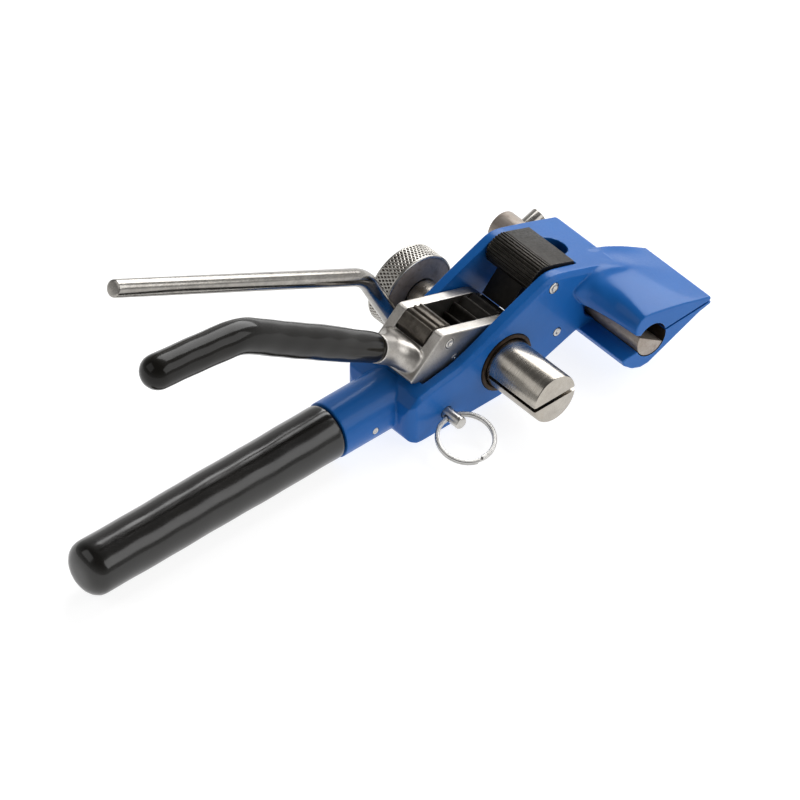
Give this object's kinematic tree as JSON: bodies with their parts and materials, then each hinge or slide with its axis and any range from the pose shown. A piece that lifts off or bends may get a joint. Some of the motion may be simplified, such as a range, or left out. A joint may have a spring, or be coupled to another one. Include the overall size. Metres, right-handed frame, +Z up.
{
  "type": "strapping tensioner",
  "caption": "Hand windlass tensioner and cutter for steel band: blue cast body, slotted mandrel with ratchet lever, two grips and a bent cutter rod.",
  "frame": {"origin": "on the flat underside of the body's rear block, midway between the two cheeks; the windlass axis is 41 mm ahead of it and 17 mm above it", "axes": "+X from the handle towards the wedge nose, +Z up from the flat underside, -Y the band side with the slotted mandrel, +Y the knob side; the windlass turns about Y"},
  "size_m": [0.296, 0.0954, 0.1262],
  "materials": {
    "blue_enamel": "glossy enamel on a casting",
    "black_pvc_dip": "glossy vinyl dip",
    "bright_steel": "turned and plated",
    "nickel_casting": "tumbled nickel plate",
    "black_oxide_steel": "oiled black oxide",
    "hardened_steel": "ground, heat tinted",
    "oiled_bronze": "oiled, dark",
    "spring_steel": "drawn wire"
  },
  "bodies": {
    "frame": {"body_frame": "blue_enamel", "handle_bar": "bright_steel", "handle_grip": "black_pvc_dip", "handle_cross_pin": "bright_steel", "near_bush": "oiled_bronze", "far_bush": "oiled_bronze", "holding_pawl_pin": "bright_steel", "frame_spacer_pin": "bright_steel", "holding_pawl_spring": "spring_steel", "shaft_retaining_pin": "bright_steel"},
    "windlass": {"windlass_spindle": "bright_steel", "ratchet_gear": "black_oxide_steel", "gear_key": "bright_steel", "knurled_knob": "bright_steel", "knob_screw": "bright_steel", "spindle_circlip": "black_oxide_steel"},
    "lever": {"lever_fork": "nickel_casting", "lever_bar": "bright_steel", "lever_grip": "black_pvc_dip", "drive_pawl_pin": "bright_steel", "fork_dowel": "bright_steel", "drive_pawl_spring": "spring_steel"},
    "drive_pawl": {"drive_pawl": "black_oxide_steel"},
    "holding_pawl": {"holding_pawl": "black_oxide_steel"},
    "cutter": {"cutter_shaft": "hardened_steel", "cutter_lever_rod": "bright_steel", "rod_grub_screw": "black_oxide_steel"},
    "stop_pin": {"lever_stop_pin": "bright_steel"},
    "ring": {"split_ring": "spring_steel"}
  },
  "joints": [
    {"name": "windlass_turn", "type": "hinge", "parent": "frame", "child": "windlass", "pos_m": [0.041, 0, 0.017], "axis": [0, -1, 0], "continuous": true},
    {"name": "lever_swing", "type": "hinge", "parent": "frame", "child": "lever", "pos_m": [0.041, 0, 0.017], "axis": [0, 1, 0], "range_deg": [0, 65]},
    {"name": "drive_pawl_pivot", "type": "hinge", "parent": "lever", "child": "drive_pawl", "pos_m": [0.0163, 0, 0.0371], "axis": [0, 1, 0], "range_deg": [0, 15], "stiffness_Nm_per_rad": 0.05, "springref_deg": -17.19, "deforming": ["drive_pawl_spring"]},
    {"name": "holding_pawl_pivot", "type": "hinge", "parent": "frame", "child": "holding_pawl", "pos_m": [0.0667, 0, 0.0419], "axis": [0, 1, 0], "range_deg": [0, 15], "stiffness_Nm_per_rad": 0.06, "springref_deg": -17.19, "deforming": ["holding_pawl_spring"]},
    {"name": "cutter_turn", "type": "hinge", "parent": "frame", "child": "cutter", "pos_m": [0.0958, 0, 0.0152], "axis": [0, -1, 0], "range_deg": [0, 28]},
    {"name": "stop_pin_pull", "type": "slide", "parent": "frame", "child": "stop_pin", "axis": [0, -1, 0], "range_m": [0, 0.03]},
    {"name": "ring_swing", "type": "hinge", "parent": "stop_pin", "child": "ring", "pos_m": [0.0091, -0.0232, 0.0085], "axis": [0.9809, -0.1944, 0], "range_deg": [-80, 60]}
  ]
}
